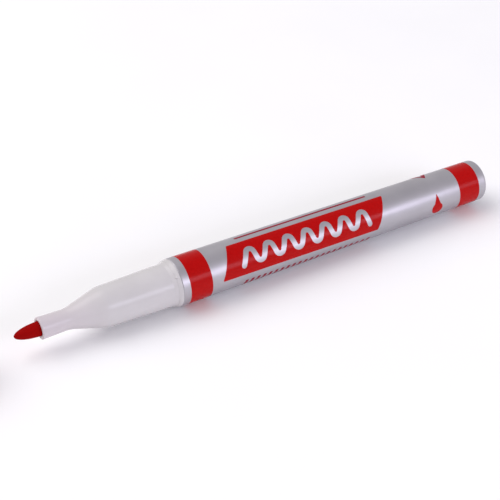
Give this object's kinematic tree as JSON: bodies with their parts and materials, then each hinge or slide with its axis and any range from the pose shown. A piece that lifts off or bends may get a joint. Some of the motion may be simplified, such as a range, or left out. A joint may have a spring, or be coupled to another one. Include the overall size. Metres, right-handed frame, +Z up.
{
  "type": "whiteboard marker",
  "caption": "Slim round whiteboard marker with a tapered silver barrel, white nose, red felt bullet nib and a red clip cap that slides on.",
  "frame": {"origin": "the writing tip of the nib, on the pen's axis", "axes": "+X along the pen's axis from the writing tip to the closed rear end, +Z up with the pen lying on its side, label on the -Y side"},
  "size_m": [0.1848, 0.0144, 0.0116],
  "materials": {
    "silver_coat": "metallic silver coat on moulded plastic, semi-gloss",
    "white_plastic": "moulded, soft gloss",
    "red_felt": "pressed fibre, wet with ink",
    "ink_fibre": "ink-soaked fibre",
    "clear_film": "thin clear film",
    "red_plastic": "moulded, gloss",
    "seal_plastic": "soft moulded",
    "red_print": "red ink printed on the barrel"
  },
  "bodies": {
    "pen": {"barrel": "silver_coat", "nose_section": "white_plastic", "nib": "red_felt", "ink_reservoir": "ink_fibre", "reservoir_film": "clear_film"},
    "cap": {"cap_shell": "red_plastic", "cap_inner_seal": "seal_plastic"}
  },
  "joints": [
    {"name": "cap_slide", "type": "slide", "parent": "pen", "child": "cap", "axis": [1, 0, 0], "range_m": [0, 0.0492]}
  ]
}
